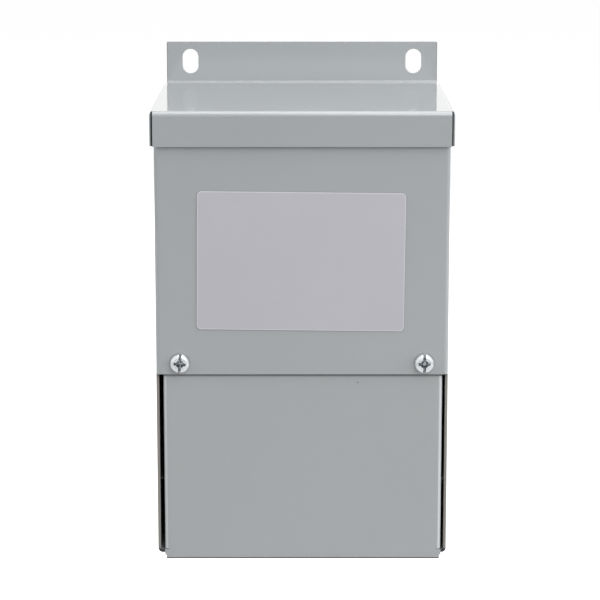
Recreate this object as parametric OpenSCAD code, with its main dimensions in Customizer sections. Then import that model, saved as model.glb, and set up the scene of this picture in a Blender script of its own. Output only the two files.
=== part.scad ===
// Small wall-mounted buck-boost transformer in a folded sheet-steel case:
// a hood with an upturned mounting flange, a case wrapper filled with potting,
// a back panel with the lower flange, and a screwed cover over the wiring space.
// The wall is the plane y = 0, the front faces -Y, and z = 0 lies midway
// between the upper and the lower mounting slots.

/* [Case] */
// Width over the case wrapper
case_w = 96.2; // [80:0.1:140]
// Depth from the wall to the front of the upper panel
case_d = 92; // [70:0.1:130]
// Height of the upper panel, from its lower edge to the underside of the hood
upper_h = 86.1; // [72:0.1:140]
// Height of the front opening that the lower cover closes
opening_h = 61.4; // [45:0.1:80]
// Thickness of the steel sheet
sheet_t = 0.9; // [0.7:0.05:1.2]
// Inner radius of every fold
bend_r = 0.6; // [0.5:0.1:1.2]
// Width of the returns behind the side panels
rear_return_w = 14; // [8:0.5:25]
// Width of the returns below the side panels
floor_return_w = 12; // [8:0.5:25]

/* [Hood] */
// Height of the hood's front and side lips
lip_h = 11.5; // [8:0.1:20]
// Clearance between a side lip and the case
side_lip_gap = 0.4; // [0.3:0.05:0.8]
// Clearance between the front lip and the case
front_lip_gap = 0.3; // [0.2:0.05:0.8]
// How far the front lip stops short of the hood's corners
front_lip_inset = 1.05; // [0.5:0.05:1.5]
// Width of the open notch between the front fold and the side lips
corner_notch = 0.7; // [0.4:0.1:3]
// Width of the relief beside the flange's fold
flange_relief = 0.9; // [0.5:0.1:2]

/* [Mounting flanges] */
// How far the upper flange stands out past each side of the case
flange_overhang = 0.4; // [0:0.1:1]
// Radius of the flange corners
flange_corner_r = 0.5; // [0.3:0.1:4]
// Height of the upper slots above the hood's top
slot_rise = 7.4; // [6.5:0.1:15]
// Drop of the lower slots below the side panels
slot_drop = 12.2; // [9:0.1:20]
// Distance from the slot centres to the end of a flange
slot_edge = 7; // [6:0.1:12]
// Distance from the side of the case to the slot centres
slot_inset = 8.05; // [6:0.05:30]
// Width of a slot
slot_w = 5.7; // [4:0.1:8]
// Length of a slot, end to end
slot_l = 8.8; // [8.1:0.1:11]

/* [Lower cover] */
// Gap between the cover and each side panel
cover_gap = 1.1; // [0.6:0.1:2]
// How far the cover's bottom lies below the side panels
cover_drop = 2.4; // [1.5:0.1:4]
// Gap between the upper panel's edge and the cover's shoulders
shoulder_gap = 0.3; // [0.2:0.05:0.8]
// Height of the tongue behind the upper panel
tongue_h = 9; // [8:0.1:14]
// Clearance between the tongue and the folds beside it
tongue_gap = 0.5; // [0.3:0.1:1.5]
// Depth of the cover's side returns
cover_return = 9; // [6:0.5:20]
// Clearance between a cover return and the floor return below it
return_gap = 0.4; // [0.3:0.1:1]
// Clearance between the cover's floor and the back panel
floor_gap = 0.5; // [0.3:0.1:2]
// How far the cover's floor stops short of the cover's sides
floor_inset = 0.5; // [0.4:0.1:2]
// Height of the clip across the lower corners of the cover's front
corner_clip = 0.5; // [0.4:0.1:2]
// Width of the slit between a cover return and the clipped corner below it
clip_slit = 0.15; // [0.1:0.05:0.4]
// How far the cover sits towards the right in its opening
cover_shift = 0.25; // [-0.4:0.05:0.4]

/* [Cover screws] */
// Distance from the side of the case to the screws
screw_inset = 7.9; // [7:0.1:30]
// Height of the screws above the upper panel's edge
screw_rise = 3.8; // [3.6:0.1:5]
// Diameter of the pan heads
head_d = 6.45; // [5:0.05:7]
// Height of the pan heads
head_h = 2.1; // [1.5:0.1:2.6]
// Radius of the pan heads' rounded edge
head_round = 1.3; // [0.6:0.1:1.4]
// Diameter of the shanks
shank_d = 3.5; // [2.8:0.1:4]
// Length of the shanks
shank_l = 9.5; // [6:0.5:14]
// Clearance hole in the upper panel, wider than the shank by this much
hole_play = 0.4; // [0.2:0.05:0.8]
// Clearance between the shank and the collar that it is driven into
thread_play = 0.1; // [0.05:0.05:0.2]
// Wall of the drawn collars on the tongue
collar_wall = 0.8; // [0.5:0.1:1]
// Length of the drawn collars behind the tongue
collar_l = 1.6; // [1:0.1:3]
// Width of the screwdriver slot
drive_slot_w = 0.95; // [0.6:0.05:1.2]
// Depth of the screwdriver slot
drive_slot_h = 1; // [0.6:0.1:1.4]
// Length of the cross recess
cross_l = 3.9; // [3:0.1:4.4]
// Depth of the cross recess
cross_h = 1.5; // [1:0.1:1.8]
// Width of the tapered middle of the cross recess, at the top of the head
cross_core_d = 2.6; // [1.6:0.1:3]
// Turn of the screwdriver slot of the left and of the right screw
drive_turn = [86, 90]; // [0:1:180]

/* [Nameplate] */
// Width of the bare nameplate
plate_w = 67.9; // [40:0.1:84]
// Height of the bare nameplate
plate_h = 45.7; // [25:0.1:60]
// Thickness of the nameplate
plate_t = 0.3; // [0.1:0.05:1]
// Corner radius of the nameplate
plate_r = 1.5; // [0.5:0.1:5]
// Offset of the nameplate from the middle of the panel
plate_x = -0.4; // [-4:0.1:4]
// Turn of the nameplate, which sits a little askew
plate_turn = 0.6; // [-2:0.1:2]

/* [Knockouts] */
// Diameter of the outer knockout, for larger conduit
knockout_d = 28.3; // [24:0.1:36]
// Diameter of the inner knockout, for smaller conduit
inner_knockout_d = 22.5; // [16:0.1:23]
// Width of the sheared slit round a knockout
slit_w = 0.2; // [0.1:0.05:0.4]
// Width of the ties that hold a knockout
tie_w = 2; // [1:0.1:4]
// How far the knockouts are pressed in from the outer face
knockout_inset = 0.3; // [0.1:0.05:0.5]

/* [Core and coils] */
// Least thickness of the potting beside, above and below the core
core_cover = 5.7; // [3:0.1:10]
// Thickness of the potting in front of and behind the coils
coil_cover = 16.5; // [8:0.5:24]
// Wall of the coil former
former_wall = 1.2; // [0.8:0.1:1.6]
// Gap between the outer winding and the core's outer legs
coil_clear = 1.7; // [0.6:0.1:3]
// Clearance between the core, the former and the windings
coil_gap = 0.2; // [0.1:0.05:0.3]

/* [Potting] */
// Clearance between the potting and what it surrounds or fills
potting_gap = 0.15; // [0.1:0.05:0.3]
// Clearance between the potting and the tongue below it
potting_rise = 1.5; // [0.5:0.1:5]

/* [Hidden] */
$fn = 64;

paint = "#a6abad";
zinc = "#d2d4d6";
label_grey = "#b9b8be";
resin = "#3a3633";
core_steel = "#6f7276";
former_board = "#d8cfae";
copper = "#b06a3c";

cut = 1;
fit = 0.05;
fold_r = bend_r + sheet_t;

// Heights, from the slots downwards
case_h = upper_h + opening_h;
slot_spacing = slot_rise + sheet_t + case_h + slot_drop;
slot_z = slot_spacing / 2;
hood_z = slot_z - slot_rise;
plate_underside = hood_z - sheet_t;
case_bottom = plate_underside - case_h;
panel_edge = case_bottom + opening_h;
lip_edge = hood_z - lip_h;
cover_bottom = case_bottom - cover_drop;
return_low = case_bottom + sheet_t + return_gap;
corner_high = return_low - clip_slit;
corner_low = cover_bottom + fold_r;
clip_h = min(corner_clip, (corner_high - corner_low) / 2);
screw_z = panel_edge + screw_rise;
tongue_top = panel_edge + tongue_h;
knockout_z = (case_bottom + panel_edge) / 2;

// The case's edges stand clear of the folds inside the hood
lip_gap = min(side_lip_gap, front_lip_gap);
seat_drop = bend_r - sqrt(pow(bend_r, 2) - pow(max(bend_r - lip_gap, 0), 2)) + fit;
wrapper_top = plate_underside - seat_drop;
// The back panel's edge reaches up under the fold of the upper flange
back_top = plate_underside + fold_r - sqrt(pow(fold_r, 2) - pow(bend_r, 2)) - fit;

// Widths and depths
hood_w = case_w + 2 * (side_lip_gap + sheet_t);
hood_front = -(case_d + front_lip_gap + sheet_t);
front_lip_w = hood_w - 2 * front_lip_inset;
side_lip_front = hood_front + fold_r + corner_notch;
flange_w = case_w + 2 * flange_overhang;
slot_x = case_w / 2 - slot_inset;
screw_x = case_w / 2 - screw_inset;
back_face = -sheet_t;
case_inner_w = case_w - 2 * sheet_t;
side_front = -case_d + fold_r;
cover_w = case_inner_w - 2 * cover_gap;
cover_face = -case_d + sheet_t;
tongue_w = min(case_w - 2 * (fold_r + tongue_gap), cover_w);
collar_d = shank_d + 2 * (thread_play + collar_wall);
floor_w = cover_w - 2 * floor_inset;
knockout_y = (back_face - case_d) / 2;

// The block of potting fills the case above the tongue
potting_w = case_inner_w - 2 * potting_gap;
potting_front = cover_face + potting_gap;
potting_rear = back_face - sheet_t - potting_gap;
potting_low = tongue_top + potting_rise;
potting_high = wrapper_top - potting_gap;
core_at = [0, (potting_front + potting_rear) / 2, (potting_low + potting_high) / 2];

// A lamination cut without waste, three legs wide and two and a half high,
// as large as the potting takes: its window and yokes follow from the middle leg
leg_w = min((potting_w - 2 * core_cover) / 3, (potting_high - potting_low - 2 * core_cover) * 2 / 5);
window_w = leg_w / 2;
window_h = leg_w * 3 / 2;
core_w = leg_w * 3;
core_h = leg_w * 5 / 2;
former_h = window_h - 2 * coil_gap;
winding_h = former_h - 2 * (former_wall + coil_gap);
inner_start = 2 * coil_gap + former_wall;
coil_reach = window_w - coil_clear;
winding_build = (coil_reach - inner_start - coil_gap) / 2;
outer_start = coil_reach - winding_build;
stack_d = potting_rear - potting_front - 2 * (coil_cover + coil_reach);

// A rectangle from a corner, with all four corners round
module round_rect(w, h, r) {
    translate([r, 0]) square([w - 2 * r, h]);
    translate([0, r]) square([w, h - 2 * r]);
    for (x = [r, w - r], y = [r, h - r]) {
        translate([x, y]) circle(r);
    }
}

// Quarter of a folded sheet round the origin, in the quadrant x > 0, y > 0,
// which runs on a little into the flat sheet at both ends
module fold_2d() {
    intersection() {
        difference() {
            circle(fold_r);
            circle(bend_r);
        }
        square(fold_r);
    }
    translate([bend_r, -fit]) square([sheet_t, fit]);
    translate([-fit, bend_r]) square([fit, sheet_t]);
}

// A profile drawn in Y and Z, drawn out along X about the middle
module along_x(length) {
    rotate([90, 0, 90]) linear_extrude(length, center = true) children();
}

// A profile drawn in X and Z, drawn out along Y from y0 to y1
module along_y(y0, y1) {
    translate([0, y1, 0]) rotate([90, 0, 0]) linear_extrude(y1 - y0) children();
}

// Both mirror images of what stands at +X
module both_sides() {
    for (side = [0, 1]) {
        mirror([side, 0, 0]) children();
    }
}

// An upright slot through a flange
module slot_cut(x, z) {
    run = slot_l - slot_w;
    translate([x, cut, z]) rotate([90, 0, 0]) {
        for (end = [-1, 1]) {
            translate([0, end * run / 2, 0]) cylinder(d = slot_w, h = sheet_t + 2 * cut);
        }
        translate([-slot_w / 2, -run / 2, 0]) cube([slot_w, run, sheet_t + 2 * cut]);
    }
}

module slot_pair(z) {
    for (side = [-1, 1]) {
        slot_cut(side * slot_x, z);
    }
}

module screw_holes(d, length) {
    for (side = [-1, 1]) {
        translate([side * screw_x, -case_d + length, screw_z])
            rotate([90, 0, 0]) cylinder(d = d, h = length + cut);
    }
}

// Hood: top plate, front lip, two side lips and the upturned flange
module hood() {
    color(paint) {
        hood_plate();
        hood_front_lip();
        both_sides() hood_side_lip();
        hood_flange();
    }
}

module hood_plate() {
    flat_w = hood_w - 2 * fold_r;
    flat_front = hood_front + fold_r;
    translate([0, 0, plate_underside]) linear_extrude(sheet_t) {
        translate([-flat_w / 2, flat_front]) square([flat_w, -fold_r - flat_front]);
        translate([-front_lip_w / 2, flat_front]) square([front_lip_w, corner_notch / 2]);
        translate([-flange_w / 2, -fold_r - flange_relief / 2]) square([flange_w, flange_relief / 2]);
    }
}

module hood_front_lip() {
    along_x(front_lip_w) {
        translate([hood_front + fold_r, hood_z - fold_r]) mirror([1, 0]) fold_2d();
        translate([hood_front, lip_edge]) square([sheet_t, lip_h - fold_r]);
    }
}

module hood_side_lip() {
    along_y(side_lip_front, -fold_r - flange_relief) {
        translate([hood_w / 2 - fold_r, hood_z - fold_r]) fold_2d();
        translate([hood_w / 2 - sheet_t, lip_edge]) square([sheet_t, lip_h - fold_r]);
    }
}

module hood_flange() {
    fold_z = plate_underside + fold_r;
    flange_top = slot_z + slot_edge;
    along_x(flange_w) translate([-fold_r, fold_z]) mirror([0, 1]) fold_2d();
    difference() {
        along_y(-sheet_t, 0) {
            translate([-flange_w / 2, fold_z]) square([flange_w, flange_top - flange_corner_r - fold_z]);
            translate([-flange_w / 2, fold_z]) round_rect(flange_w, flange_top - fold_z, flange_corner_r);
        }
        slot_pair(slot_z);
    }
}

// Case wrapper: upper front panel, both side panels and their returns
module case_wrapper() {
    color(paint) difference() {
        union() {
            wrapper_walls();
            both_sides() floor_return();
        }
        front_opening();
        screw_holes(shank_d + hole_play, sheet_t + cut);
        both_sides() knockout_hole();
    }
}

module wrapper_outline() {
    inner_d = case_d - 3 * sheet_t;
    gap_w = case_w - 2 * rear_return_w;
    difference() {
        translate([-case_w / 2, -case_d]) round_rect(case_w, case_d - sheet_t, fold_r);
        translate([-case_inner_w / 2, -case_d + sheet_t]) round_rect(case_inner_w, inner_d, bend_r);
        translate([-gap_w / 2, -fold_r - sheet_t]) square([gap_w, fold_r + sheet_t + cut]);
    }
}

module wrapper_walls() {
    foot = case_bottom + fold_r;
    translate([0, 0, foot]) linear_extrude(wrapper_top - foot) wrapper_outline();
}

module floor_return() {
    along_y(side_front, back_face - fold_r) {
        translate([case_w / 2 - fold_r, case_bottom + fold_r]) mirror([0, 1]) fold_2d();
        translate([case_w / 2 - floor_return_w, case_bottom]) square([floor_return_w - fold_r, sheet_t]);
    }
}

module front_opening() {
    translate([-case_w / 2 - cut, -case_d - cut, case_bottom - cut])
        cube([case_w + 2 * cut, fold_r + cut, opening_h + cut]);
}

module knockout_hole() {
    translate([case_w / 2 - sheet_t - cut, knockout_y, knockout_z])
        rotate([0, 90, 0]) cylinder(d = knockout_d, h = sheet_t + 2 * cut);
}

// Back panel, which runs down past the case as the lower flange
module back_panel() {
    bottom = -slot_z - slot_edge;
    color(paint) difference() {
        along_y(back_face, 0) {
            translate([-case_w / 2, bottom + flange_corner_r])
                square([case_w, back_top - bottom - flange_corner_r]);
            translate([-case_w / 2, bottom]) round_rect(case_w, back_top - bottom, flange_corner_r);
        }
        slot_pair(-slot_z);
    }
}

// Lower cover: front, tongue with two drawn collars, side returns and floor
module lower_cover() {
    color(paint) difference() {
        union() {
            translate([cover_shift, 0, 0]) {
                cover_front();
                both_sides() cover_side_return();
                cover_floor();
            }
            screw_collars();
        }
        screw_holes(shank_d + thread_play, sheet_t * 2 + collar_l + cut);
    }
}

module cover_front() {
    shoulder = panel_edge - shoulder_gap;
    flat_w = cover_w - 2 * fold_r;
    along_y(cover_face, cover_face + sheet_t) {
        translate([-flat_w / 2, corner_low]) square([flat_w, shoulder - corner_low]);
        clipped_corners();
        translate([-tongue_w / 2, shoulder]) square([tongue_w, tongue_top - shoulder]);
        translate([-flat_w / 2, shoulder - fold_r]) square([flat_w, fold_r + shoulder_gap]);
    }
}

// Lower corners of the cover's front, clipped towards the floor's fold
module clipped_corners() {
    polygon([
        [-floor_w / 2, corner_low],
        [floor_w / 2, corner_low],
        [cover_w / 2, corner_low + clip_h],
        [cover_w / 2, corner_high],
        [-cover_w / 2, corner_high],
        [-cover_w / 2, corner_low + clip_h]
    ]);
}

module cover_side_return() {
    high = panel_edge - shoulder_gap;
    translate([0, 0, return_low]) linear_extrude(high - return_low) {
        translate([cover_w / 2 - fold_r, cover_face + fold_r]) mirror([0, 1]) fold_2d();
        translate([cover_w / 2 - sheet_t, cover_face + fold_r]) square([sheet_t, cover_return - fold_r]);
    }
}

module cover_floor() {
    floor_back = back_face - floor_gap;
    along_x(floor_w) {
        translate([cover_face + fold_r, cover_bottom + fold_r]) rotate(180) fold_2d();
        translate([cover_face + fold_r, cover_bottom]) square([floor_back - cover_face - fold_r, sheet_t]);
    }
}

module screw_collars() {
    for (side = [-1, 1]) {
        translate([side * screw_x, cover_face + sheet_t + collar_l, screw_z])
            rotate([90, 0, 0]) cylinder(d = collar_d, h = collar_l);
    }
}

// Pan-head screw with a slot across its cross recess, head towards -Y
module cover_screw(turn) {
    color(zinc) rotate([90, 0, 0]) difference() {
        rotate_extrude() screw_profile();
        rotate(turn) drive_recess();
    }
}

module screw_profile() {
    head_r = head_d / 2;
    tip = shank_d / 4;
    intersection() {
        union() {
            square([head_r, head_h - head_round]);
            square([head_r - head_round, head_h]);
            translate([head_r - head_round, head_h - head_round]) circle(head_round);
        }
        square([head_r, head_h]);
    }
    translate([0, -shank_l]) polygon([
        [0, 0],
        [shank_d / 2 - tip, 0],
        [shank_d / 2, tip],
        [shank_d / 2, shank_l],
        [0, shank_l]
    ]);
}

module drive_recess() {
    slot_floor = head_h - drive_slot_h;
    cross_floor = head_h - cross_h;
    translate([-head_d / 2 - cut, -drive_slot_w / 2, slot_floor])
        cube([head_d + 2 * cut, drive_slot_w, drive_slot_h + cut]);
    for (quarter = [0, 90]) {
        rotate(quarter) translate([-cross_l / 2, -drive_slot_w / 2, cross_floor])
            cube([cross_l, drive_slot_w, cross_h + cut]);
    }
    translate([0, 0, cross_floor]) cylinder(d1 = drive_slot_w, d2 = cross_core_d, h = cross_h);
    translate([0, 0, head_h]) cylinder(d = cross_core_d, h = cut);
}

module cover_screw_left() {
    translate([-screw_x, -case_d, screw_z]) cover_screw(drive_turn[0]);
}

module cover_screw_right() {
    translate([screw_x, -case_d, screw_z]) cover_screw(drive_turn[1]);
}

// Bare nameplate in the middle of the panel that shows below the lip
module nameplate() {
    color(label_grey) translate([plate_x, 0, (lip_edge + panel_edge) / 2]) rotate([0, plate_turn, 0])
        along_y(-case_d - plate_t, -case_d)
            translate([-plate_w / 2, -plate_h / 2]) round_rect(plate_w, plate_h, plate_r);
}

// Resin and sand, cast round the core and coils in the upper case
module potting() {
    color(resin) difference() {
        translate([0, 0, potting_low]) linear_extrude(potting_high - potting_low)
            translate([-potting_w / 2, potting_front])
                round_rect(potting_w, potting_rear - potting_front, bend_r);
        core_block(potting_gap);
        coil_block(potting_gap);
    }
}

// The core's outline with its two windows, grown on every side by a gap
module core_block(grow) {
    translate(core_at) difference() {
        cube([core_w, stack_d, core_h] + 2 * [grow, grow, grow], center = true);
        for (side = [-1, 1]) {
            translate([side * (leg_w + window_w) / 2, 0, 0])
                cube([window_w - 2 * grow, stack_d + 2 * grow + cut, window_h - 2 * grow], center = true);
        }
    }
}

// The space that the former and the windings take, grown by a gap
module coil_block(grow) {
    translate(core_at) coil_ring(0, coil_reach + grow, former_h + 2 * grow);
}

// A band round the middle leg, from one distance off the leg to another
module coil_ring(from, to, h) {
    translate([0, 0, -h / 2]) linear_extrude(h) difference() {
        leg_outline(to);
        leg_outline(from);
    }
}

module leg_outline(off) {
    translate([-leg_w / 2 - off, -stack_d / 2 - off])
        round_rect(leg_w + 2 * off, stack_d + 2 * off, max(off, coil_gap));
}

module core_stack() {
    color(core_steel) core_block(0);
}

// Spool with a flange at each end, which carries both windings
module coil_former() {
    color(former_board) translate(core_at) {
        coil_ring(coil_gap, coil_gap + former_wall, former_h);
        for (end = [-1, 1]) {
            translate([0, 0, end * (former_h - former_wall) / 2])
                coil_ring(coil_gap, coil_reach, former_wall);
        }
    }
}

module inner_winding() {
    color(copper) translate(core_at)
        coil_ring(inner_start, inner_start + winding_build, winding_h);
}

module outer_winding() {
    color(copper) translate(core_at)
        coil_ring(outer_start, coil_reach, winding_h);
}

// A round blank in the right-hand side panel, pressed in from its outer face
module knockout_blank() {
    translate([case_w / 2 - knockout_inset - sheet_t, knockout_y, knockout_z])
        rotate([0, 90, 0]) linear_extrude(sheet_t) children();
}

// A blank of the hole's size less the slit, with two ties across the slit
module tied_disc(d) {
    circle(d = d - 2 * slit_w);
    intersection() {
        circle(d = d - fit);
        square([d, tie_w], center = true);
    }
}

module knockout_ring() {
    color(paint) knockout_blank() difference() {
        tied_disc(knockout_d);
        circle(d = inner_knockout_d);
    }
}

module knockout_slug() {
    color(paint) knockout_blank() rotate(90) tied_disc(inner_knockout_d);
}

module knockout_ring_left() {
    mirror([1, 0, 0]) knockout_ring();
}

module knockout_ring_right() {
    knockout_ring();
}

module knockout_slug_left() {
    mirror([1, 0, 0]) knockout_slug();
}

module knockout_slug_right() {
    knockout_slug();
}

hood();
case_wrapper();
back_panel();
lower_cover();
nameplate();
cover_screw_left();
cover_screw_right();
knockout_ring_left();
knockout_ring_right();
knockout_slug_left();
knockout_slug_right();
potting();
core_stack();
coil_former();
inner_winding();
outer_winding();
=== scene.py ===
import math

import bpy
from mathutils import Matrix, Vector


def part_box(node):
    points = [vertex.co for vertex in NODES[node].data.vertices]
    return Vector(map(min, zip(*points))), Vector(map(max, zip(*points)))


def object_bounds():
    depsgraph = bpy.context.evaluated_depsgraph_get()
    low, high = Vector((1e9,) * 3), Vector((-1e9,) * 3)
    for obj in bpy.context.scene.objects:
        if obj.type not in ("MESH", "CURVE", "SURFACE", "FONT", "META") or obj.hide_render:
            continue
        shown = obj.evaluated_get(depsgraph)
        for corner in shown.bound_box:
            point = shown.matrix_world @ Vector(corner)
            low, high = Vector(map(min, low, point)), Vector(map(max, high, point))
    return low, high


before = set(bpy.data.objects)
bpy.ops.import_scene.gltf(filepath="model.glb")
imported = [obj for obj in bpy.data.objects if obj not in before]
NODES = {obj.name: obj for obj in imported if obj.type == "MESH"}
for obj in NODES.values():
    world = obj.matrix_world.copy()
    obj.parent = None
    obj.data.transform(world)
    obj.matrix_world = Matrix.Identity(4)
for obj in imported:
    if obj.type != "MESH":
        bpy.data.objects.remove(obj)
cad_low, cad_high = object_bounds()

MM = 0.001

# Camera: straight in front of the case and a little above its top
IMAGE_PX = 600
SENSOR_MM = 36
FOCAL_PX = 2361
CAMERA_AT = Vector((-0.7, -850, 165.2)) * MM
CAMERA_PITCH = math.radians(11.24)

# Colours of the finishes, as sRGB values from 0 to 255
PAINT_GREY = (166, 170, 172)
LABEL_GREY = (188, 187, 194)
# Painted highlight on the label's cut edge
LABEL_EDGE_HIGHLIGHT = (226, 225, 230)
ZINC_GREY = (238, 241, 244)
# Painted shade in the screwdriver recess
RECESS_SHADE = (78, 90, 98)
RESIN_BROWN = (58, 54, 51)
CORE_GREY = (111, 114, 118)
BOARD_BUFF = (216, 207, 174)
COPPER = (176, 106, 60)

# Colours of painted shade, a painted shadow line, painted highlights on folds, worn paint and bare sheet
# edges
PAINTED_SHADE_DARK = (60, 61, 62)
CUT_SHADE_DARK = (70, 72, 75)
CUT_GREY = (146, 143, 138)
WORN_AND_SHADE_GREY = (104, 106, 108)
JOINT_SHADOW_GREY = (140, 142, 144)
FOLD_HIGHLIGHT_PALE = (214, 217, 219)

# Colours of the studio
WHITE = (255, 255, 255)
FLOOR_WHITE = (196, 196, 196)
# Glow of the card that paints the flange's reflection on the top plate
REFLECTION_CARD_GREY = (176, 181, 183)

# Paint: rounding of sheet edges under it, its pale grain and its shine
EDGE_ROUND = 0.2 * MM
GRAIN_SHARE = 0.12
GRAIN_LIGHT = 1.12
PAINT_SPECULAR = 0.5

# A surface whose direction has less than this along Y faces the front, or at least leans to it
FACES_FRONT = -0.7
LEANS_FRONT = -0.25

# A surface whose direction has less than this along every axis is a fold
FOLD_FACING = 0.96

# Painted shade darkens the joints between sheets
JOINT_REACH = 0.8 * MM
JOINT_SHADE = 0.75

# Painted shade darkens the fold of the hood's flange, and the bare ends of its side lips are darkened as
# painted shade inside a rim of case paint
CORNER_DEPTH = 3 * MM
FOLD_CORNER_SHADE = 0.28
LIP_INSET = 1.05 * MM
LIP_RIM = 0.4 * MM

# Height of the upper panel's lower edge, below which the side panels show their cut edges
PANEL_EDGE = -10.4 * MM

# How far up those cut edges are darkened as painted shade
FOOT_SHADE = 1.3 * MM

# The cover has painted highlights on its folds, a painted shadow line along its top joint and painted
# shade along its lower edge
FOLD_HIGHLIGHT_SHARE = 0.65
JOINT_LINE = 0.9 * MM
LOWER_EDGE_SHADE = 0.8 * MM

# A small chip in the cover's paint, across and up
CHIP_AT = (18.3 * MM, -13.4 * MM)
CHIP_SIZE = 0.45 * MM

# Width of the painted highlight on the label's cut edge, and how far the film's rounded edge turns from
# flat to that highlight
RIM_WIDTH = 0.5 * MM
FILM_FLAT = -0.999
FILM_EDGE = -0.96

# How far the screwdriver recess shades itself
RECESS_REACH = 2 * MM

# Rays for rounded edges and for shaded places
EDGE_SAMPLES = 6
SHADE_SAMPLES = 8

# The floor lies clear below the part, which hangs on a wall in use
FLOOR_DROP = 120 * MM
FLOOR_SIZE = 12.0

# Glow of the floor to the camera and in mirror images, and the world's light on the part
FLOOR_LIFT = 0.85
FLOOR_MIRROR_LIFT = 0.25
WORLD_FILL = 0.24

# A glowing card behind the upper flange, a little smaller than the flange, that paints the flange's
# reflection over its slots
CARD_BACK = 2 * MM
CARD_INSET = 3 * MM
CARD_DROP = 13 * MM


def linear(rgb):
    """An sRGB colour from 0 to 255 as linear RGBA."""
    out = []
    for value in rgb:
        v = value / 255
        out.append(v / 12.92 if v <= 0.04045 else ((v + 0.055) / 1.055) ** 2.4)
    return (*out, 1.0)


def scaled(colour, factor):
    """A linear colour made darker or lighter."""
    return (*[min(c * factor, 1.0) for c in colour[:3]], 1.0)


def feed(tree, socket, value):
    """Links an input to another node's output, or sets it to a plain value."""
    if isinstance(value, bpy.types.NodeSocket):
        tree.links.new(value, socket)
    else:
        socket.default_value = value


def feed_named(tree, node, inputs):
    """Feeds a node's inputs by name, with _ in place of spaces."""
    for name, value in inputs.items():
        feed(tree, node.inputs[name.replace("_", " ")], value)


def add_node(tree, kind, **inputs):
    """A new node with its inputs fed."""
    node = tree.nodes.new(kind)
    feed_named(tree, node, inputs)
    return node


def add_math(tree, operation, *values):
    """The result of an operation on numbers or other nodes' outputs."""
    node = tree.nodes.new("ShaderNodeMath")
    node.operation = operation
    for socket, value in zip(node.inputs, values):
        feed(tree, socket, value)
    return node.outputs["Value"]


class Graph:
    """A material with a Principled shader and short calls to add nodes to it."""

    def __init__(self, name):
        self.material = bpy.data.materials.new(name)
        self.material.use_nodes = True
        self.tree = self.material.node_tree
        self.shader = self.tree.nodes["Principled BSDF"]
        self.coords = self.tree.nodes.new("ShaderNodeTexCoord").outputs["Object"]
        self.normal = self.tree.nodes.new("ShaderNodeNewGeometry").outputs["True Normal"]

    def set(self, **inputs):
        """Feeds the shader's own inputs."""
        feed_named(self.tree, self.shader, inputs)

    def math(self, operation, *values):
        """The result of an operation, as add_math gives it."""
        return add_math(self.tree, operation, *values)

    def both(self, a, b):
        """Mask of the places that are in both masks."""
        return self.math("MULTIPLY", a, b)

    def mix(self, factor, a, b):
        """Colour a where the factor is 0 and colour b where it is 1."""
        node = add_node(self.tree, "ShaderNodeMix", Factor=factor)
        node.data_type = "RGBA"
        colours = [socket for socket in node.inputs if socket.type == "RGBA"]
        for socket, value in zip(colours, (a, b)):
            feed(self.tree, socket, value)
        return [socket for socket in node.outputs if socket.type == "RGBA"][0]

    def split(self, vector):
        """A direction's or a place's parts along X, Y and Z."""
        return add_node(self.tree, "ShaderNodeSeparateXYZ", Vector=vector).outputs

    def remap(self, source, low, high, out_low=0, out_high=1):
        """A value's range from low to high, spread over another range."""
        node = add_node(
            self.tree, "ShaderNodeMapRange",
            Value=source, From_Min=low, From_Max=high, To_Min=out_low, To_Max=out_high,
        )
        return node.outputs["Result"]

    def noise(self, scale, detail, rough=0.5, stretch=(1, 1, 1)):
        """Noise of so many cells to the metre, more along an axis that is stretched."""
        place = add_node(self.tree, "ShaderNodeMapping", Vector=self.coords, Scale=stretch)
        node = add_node(
            self.tree, "ShaderNodeTexNoise",
            Vector=place.outputs["Vector"], Scale=scale, Detail=detail, Roughness=rough,
        )
        return node.outputs["Fac"]

    def spots(self, low=0.35, high=0.65, **noise):
        """Noise with its contrast raised, from 0 to 1."""
        return self.remap(self.noise(**noise), low, high)

    def roughness(self, pattern, at_0, at_1):
        """Roughness that follows a pattern from 0 to 1."""
        self.set(Roughness=self.remap(pattern, 0, 1, at_0, at_1))

    def tint(self, pattern, rgb, dark, light):
        """A colour that follows a pattern from a darker to a lighter shade."""
        colour = linear(rgb)
        return self.mix(pattern, scaled(colour, dark), scaled(colour, light))

    def bump(self, height, strength, depth, edge_round=0):
        """Fine relief, on edges that may be rounded."""
        node = add_node(self.tree, "ShaderNodeBump", Height=height, Strength=strength, Distance=depth)
        normal = node.outputs["Normal"]
        self.set(Normal=normal)
        if edge_round:
            feed(self.tree, node.inputs["Normal"], self.rounded(edge_round))
            self.set(Coat_Normal=normal)

    def rounded(self, radius):
        """The surface's direction, as if its edges were rounded."""
        node = add_node(self.tree, "ShaderNodeBevel", Radius=radius)
        node.samples = EDGE_SAMPLES
        return node.outputs["Normal"]

    def shade(self, reach, alone=False):
        """How open a place is: 1 in the open, towards 0 in a recess or joint."""
        node = add_node(self.tree, "ShaderNodeAmbientOcclusion", Distance=reach)
        node.samples = SHADE_SAMPLES
        node.only_local = alone
        return node.outputs["AO"]


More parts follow.
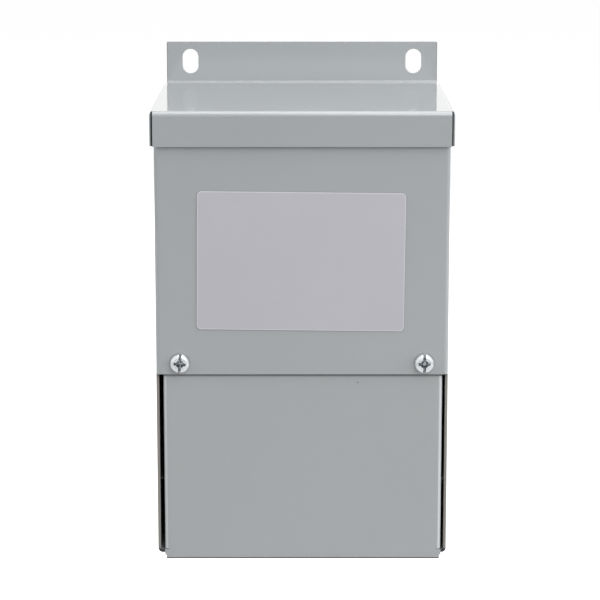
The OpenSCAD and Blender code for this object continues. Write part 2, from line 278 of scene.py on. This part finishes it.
def paint_material(name, add_wear_and_shade=None):
    """Light grey enamel on sheet steel: faint mottling, orange peel and painted shade in the joints."""
    g = Graph(name)
    mottle = g.spots(scale=14, detail=4)
    grain = g.spots(scale=2600, detail=2, low=0.3, high=0.7)
    base = g.tint(mottle, PAINT_GREY, dark=0.985, light=1.015)
    pale = scaled(linear(PAINT_GREY), GRAIN_LIGHT)
    colour = g.mix(g.math("MULTIPLY", grain, GRAIN_SHARE), base, pale)
    g.set(IOR=1.5, Coat_Weight=1.0, Coat_Roughness=0.08, Coat_IOR=1.5)
    # A part's own marks of painted light and shade, bare edges and wear; the coat comes off where the
    # mask they return lies
    if add_wear_and_shade:
        colour, matte_marks = add_wear_and_shade(g, colour)
        glossy = g.math("SUBTRACT", 1.0, matte_marks)
        g.set(Coat_Weight=glossy, Specular_IOR_Level=g.math("MULTIPLY", glossy, PAINT_SPECULAR))
    # Painted shade: the paint darkens where joints close in around it
    shade_in_joints = g.remap(g.shade(JOINT_REACH), low=0.35, high=0.85, out_low=JOINT_SHADE, out_high=0)
    g.set(Base_Color=g.mix(shade_in_joints, colour, linear(PAINTED_SHADE_DARK)))
    g.roughness(g.spots(scale=60, detail=3, low=0.3, high=0.7), at_0=0.1, at_1=0.16)
    g.bump(g.noise(scale=420, detail=2), strength=0.06, depth=0.15 * MM, edge_round=EDGE_ROUND)
    return g.material


def folds(g):
    """Mask of the folds, where the surface faces along no axis."""
    along = 0.0
    for part in g.split(g.normal):
        along = g.math("MAXIMUM", along, g.math("ABSOLUTE", part))
    return g.math("LESS_THAN", along, FOLD_FACING)


def front_edges(g, beyond, below):
    """Mask of front-facing places further out than a distance and under a height."""
    place = g.split(g.coords)
    facing = g.math("LESS_THAN", g.split(g.normal)["Y"], FACES_FRONT)
    outside = g.math("GREATER_THAN", g.math("ABSOLUTE", place["X"]), beyond)
    under = g.math("LESS_THAN", place["Z"], below)
    return g.both(facing, g.both(outside, under))


def hood_bare_ends_and_shade(g, colour):
    """Painted shade in the flange's fold, and bare ends of the side lips darkened as painted shade, with
    outer rims in case paint.
    """
    _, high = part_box("hood")
    place = g.split(g.coords)
    # Painted shade in the concave fold at the flange's foot
    corner = g.both(folds(g), g.math("GREATER_THAN", place["Y"], high.y - CORNER_DEPTH))
    colour = g.mix(g.math("MULTIPLY", corner, FOLD_CORNER_SHADE), colour, linear(PAINTED_SHADE_DARK))
    # The side lips' ends are bare cut steel, darkened further as painted shade of the corner gap
    ends = front_edges(g, beyond=high.x - LIP_INSET, below=high.z)
    inside = g.math("LESS_THAN", g.math("ABSOLUTE", place["X"]), high.x - LIP_RIM)
    bare = g.both(ends, inside)
    return g.mix(bare, colour, linear(CUT_SHADE_DARK)), bare


def wrapper_cut_edges_and_shade(g, colour):
    """Bare front edges of the side panels, with painted shade at their feet."""
    low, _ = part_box("case_wrapper")
    edges = front_edges(g, beyond=0, below=PANEL_EDGE)
    # Painted shade at the feet, where the floor returns lie in shadow
    feet = front_edges(g, beyond=0, below=low.z + FOOT_SHADE)
    colour = g.mix(edges, colour, linear(CUT_GREY))
    return g.mix(feet, colour, linear(CUT_SHADE_DARK)), edges


def chip(g, place):
    """Mask of one small ragged chip."""
    across = g.math("SUBTRACT", place["X"], CHIP_AT[0])
    up = g.math("SUBTRACT", place["Z"], CHIP_AT[1])
    square = g.math("ADD", g.math("MULTIPLY", across, across), g.math("MULTIPLY", up, up))
    ragged = g.math("MULTIPLY", g.noise(scale=2500, detail=2), CHIP_SIZE)
    return g.math("LESS_THAN", g.math("SQRT", square), ragged)


def cover_light_shade_and_chip(g, colour):
    """Painted highlights on the folds, a painted shadow line at the upper joint, painted shade along the
    lower edge and a chip in the paint.
    """
    low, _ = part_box("lower_cover")
    place = g.split(g.coords)
    # Painted shadow line under the upper panel's lower edge
    joint = g.math("GREATER_THAN", place["Z"], PANEL_EDGE - JOINT_LINE)
    # Painted shade along the lower edge, which faces down; the chip is real wear in the paint
    facing = g.math("LESS_THAN", g.split(g.normal)["Y"], LEANS_FRONT)
    under = g.both(facing, g.math("LESS_THAN", place["Z"], low.z + LOWER_EDGE_SHADE))
    edge = g.math("MAXIMUM", under, chip(g, place))
    # Painted highlights on the folds
    colour = g.mix(g.math("MULTIPLY", folds(g), FOLD_HIGHLIGHT_SHARE), colour, linear(FOLD_HIGHLIGHT_PALE))
    colour = g.mix(joint, colour, linear(JOINT_SHADOW_GREY))
    return g.mix(edge, colour, linear(WORN_AND_SHADE_GREY)), g.math("MAXIMUM", joint, edge)


def label_material():
    """Bare satin label film with a painted highlight on its cut edge."""
    g = Graph("label_film")
    film = g.tint(g.spots(scale=22, detail=3), LABEL_GREY, dark=0.99, light=1.012)
    cut_edge_highlight = g.remap(g.split(g.rounded(RIM_WIDTH))["Y"], FILM_FLAT, FILM_EDGE)
    g.set(Base_Color=g.mix(cut_edge_highlight, film, linear(LABEL_EDGE_HIGHLIGHT)))
    g.roughness(g.spots(scale=300, detail=2, low=0.3, high=0.7), at_0=0.36, at_1=0.46)
    g.bump(g.noise(scale=1500, detail=2), strength=0.03, depth=0.05 * MM)
    return g.material


def zinc_material():
    """Bright zinc plate on the cover screws, with painted shade in the screwdriver recess and painted
    glints in it.
    """
    g = Graph("zinc_screw")
    plate = g.tint(g.spots(scale=900, detail=3), ZINC_GREY, dark=0.92, light=1.0)
    # Painted glints in the recess
    recess_glints = g.remap(g.noise(scale=1700, detail=4, rough=0.6), low=0.42, high=0.72, out_high=0.9)
    recess = g.mix(recess_glints, linear(RECESS_SHADE), plate)
    # Painted shade where the recess closes in
    open_air = g.remap(g.shade(RECESS_REACH, alone=True), low=0.72, high=0.97)
    g.set(Base_Color=g.mix(open_air, recess, plate), Metallic=1.0)
    g.roughness(g.spots(scale=1400, detail=3, low=0.3, high=0.7), at_0=0.22, at_1=0.34)
    g.bump(g.noise(scale=2200, detail=3), strength=0.05, depth=0.03 * MM)
    return g.material


def resin_material():
    """Cast resin and sand."""
    g = Graph("potting_resin")
    sand = g.spots(scale=900, detail=4, rough=0.7, low=0.4, high=0.6)
    g.set(Base_Color=g.tint(sand, RESIN_BROWN, dark=0.8, light=1.5))
    g.roughness(sand, at_0=0.45, at_1=0.7)
    g.bump(sand, strength=0.2, depth=0.2 * MM)
    return g.material


def core_material():
    """Edges of stacked laminations."""
    g = Graph("core_steel")
    sheets = g.spots(scale=1, detail=2, stretch=(20, 2200, 20))
    g.set(Base_Color=g.tint(sheets, CORE_GREY, dark=0.6, light=1.2), Metallic=0.9)
    g.roughness(sheets, at_0=0.5, at_1=0.35)
    g.bump(sheets, strength=0.3, depth=0.1 * MM)
    return g.material


def board_material():
    """Pressed board of the coil former."""
    g = Graph("former_board")
    fibre = g.spots(scale=700, detail=4, rough=0.6)
    g.set(Base_Color=g.tint(fibre, BOARD_BUFF, dark=0.85, light=1.05))
    g.roughness(fibre, at_0=0.75, at_1=0.9)
    g.bump(fibre, strength=0.2, depth=0.08 * MM)
    return g.material


def copper_material():
    """Layers of enamelled copper wire."""
    g = Graph("winding_copper")
    turns = g.spots(scale=1, detail=1, stretch=(30, 30, 1600))
    g.set(Base_Color=g.tint(turns, COPPER, dark=0.55, light=1.2), Metallic=0.8)
    g.roughness(turns, at_0=0.45, at_1=0.25)
    g.bump(turns, strength=0.5, depth=0.2 * MM)
    return g.material


def dress(node, material):
    """Gives a CAD node its finish."""
    piece = NODES[node]
    piece.data.materials.clear()
    piece.data.materials.append(material)


def place_in_scene(name, data):
    """A new object in the scene."""
    thing = bpy.data.objects.new(name, data)
    bpy.context.scene.collection.objects.link(thing)
    return thing


def make_camera():
    """A camera that looks down at the front a little."""
    data = bpy.data.cameras.new("camera")
    data.sensor_width = SENSOR_MM
    data.lens = FOCAL_PX * SENSOR_MM / IMAGE_PX
    camera = place_in_scene("camera", data)
    camera.location = CAMERA_AT
    camera.rotation_euler = (math.pi / 2 - CAMERA_PITCH, 0, 0)
    bpy.context.scene.camera = camera


def soft_box(name, at, size, watts, mirrored=True):
    """A square studio lamp that faces the middle of the part."""
    data = bpy.data.lights.new(name, "AREA")
    data.size = size
    data.energy = watts
    lamp = place_in_scene(name, data)
    lamp.location = at
    lamp.rotation_euler = Vector(at).to_track_quat("Z", "Y").to_euler()
    lamp.visible_glossy = mirrored


def bare_material(name):
    """A material with no shader yet: the material, its nodes and the place for a shader."""
    material = bpy.data.materials.new(name)
    material.use_nodes = True
    tree = material.node_tree
    tree.nodes.clear()
    surface = tree.nodes.new("ShaderNodeOutputMaterial").inputs["Surface"]
    return material, tree, surface


def flat_sheet(name, corners, material):
    """One flat face between four corners."""
    mesh = bpy.data.meshes.new(name)
    mesh.from_pydata(corners, [], [(0, 1, 2, 3)])
    mesh.materials.append(material)
    return place_in_scene(name, mesh)


def make_floor():
    """Pale floor that looks white where no shadow falls on it."""
    material, tree, surface = bare_material("floor_white")
    path = tree.nodes.new("ShaderNodeLightPath").outputs
    mirrored = add_math(tree, "MULTIPLY", path["Is Glossy Ray"], FLOOR_MIRROR_LIFT)
    lift = add_math(tree, "MULTIPLY_ADD", path["Is Camera Ray"], FLOOR_LIFT, mirrored)
    diffuse = add_node(tree, "ShaderNodeBsdfDiffuse", Color=linear(FLOOR_WHITE))
    glow = add_node(tree, "ShaderNodeEmission", Color=linear(WHITE), Strength=lift)
    total = tree.nodes.new("ShaderNodeAddShader")
    for socket, shader in zip(total.inputs, (diffuse, glow)):
        feed(tree, socket, shader.outputs[0])
    feed(tree, surface, total.outputs[0])

    z = cad_low.z - FLOOR_DROP
    half = FLOOR_SIZE / 2
    corners = [(-half, -half, z), (half, -half, z), (half, half, z), (-half, half, z)]
    floor = flat_sheet("floor", corners, material)


def make_world():
    """White to the camera and in reflections, and a plain fill light."""
    world = bpy.data.worlds.new("studio")
    world.use_nodes = True
    bpy.context.scene.world = world
    tree = world.node_tree
    path = tree.nodes.new("ShaderNodeLightPath").outputs
    seen = add_math(tree, "MAXIMUM", path["Is Camera Ray"], path["Is Glossy Ray"])
    clear = add_math(tree, "MAXIMUM", seen, path["Is Transmission Ray"])
    strength = add_node(tree, "ShaderNodeMapRange", Value=clear, To_Min=WORLD_FILL, To_Max=1.0)
    background = {"Color": linear(WHITE), "Strength": strength.outputs["Result"]}
    feed_named(tree, tree.nodes["Background"], background)


def make_slot_card():
    """A glowing card close behind the upper flange that only mirror images show: a painted reflection.

    Without it the top plate would mirror the bright slots.
    """
    material, tree, surface = bare_material("slot_reflection_glow")
    glow = add_node(tree, "ShaderNodeEmission", Color=linear(REFLECTION_CARD_GREY))
    feed(tree, surface, glow.outputs[0])

    _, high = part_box("hood")
    half = high.x - CARD_INSET
    foot = high.z - CARD_DROP
    top = high.z - CARD_INSET
    outline = [(-half, foot), (half, foot), (half, top), (-half, top)]
    card = flat_sheet("slot_card", [(x, CARD_BACK, z) for x, z in outline], material)
    card.visible_camera = False
    card.visible_diffuse = False
    card.visible_transmission = False
    card.visible_shadow = False


make_camera()
make_world()
make_floor()
make_slot_card()

# Lamps at the sides and behind would turn the top plate white in side views if it mirrored them
soft_box("top_light", at=(0.05, -0.12, 0.6), size=0.5, watts=1.9)
soft_box("front_light", at=(0.5, -1.15, 0.95), size=1.0, watts=8.9)
soft_box("right_light", at=(1.3, -0.4, 0.45), size=1.3, watts=13, mirrored=False)
soft_box("left_light", at=(-1.3, -0.2, 0.45), size=1.3, watts=10, mirrored=False)
soft_box("back_light", at=(0.2, 1.4, 0.5), size=1.2, watts=9.5, mirrored=False)

paint = paint_material("case_paint")
zinc = zinc_material()
copper = copper_material()
FINISHES = {
    "hood": paint_material("case_paint_hood", hood_bare_ends_and_shade),
    "case_wrapper": paint_material("case_paint_wrapper", wrapper_cut_edges_and_shade),
    "back_panel": paint,
    "lower_cover": paint_material("case_paint_cover", cover_light_shade_and_chip),
    "knockout_ring_left": paint,
    "knockout_ring_right": paint,
    "knockout_slug_left": paint,
    "knockout_slug_right": paint,
    "nameplate": label_material(),
    "cover_screw_left": zinc,
    "cover_screw_right": zinc,
    "potting": resin_material(),
    "core_stack": core_material(),
    "coil_former": board_material(),
    "inner_winding": copper,
    "outer_winding": copper,
}
for name, finish in FINISHES.items():
    dress(name, finish)

bpy.context.scene.view_settings.view_transform = "Standard"
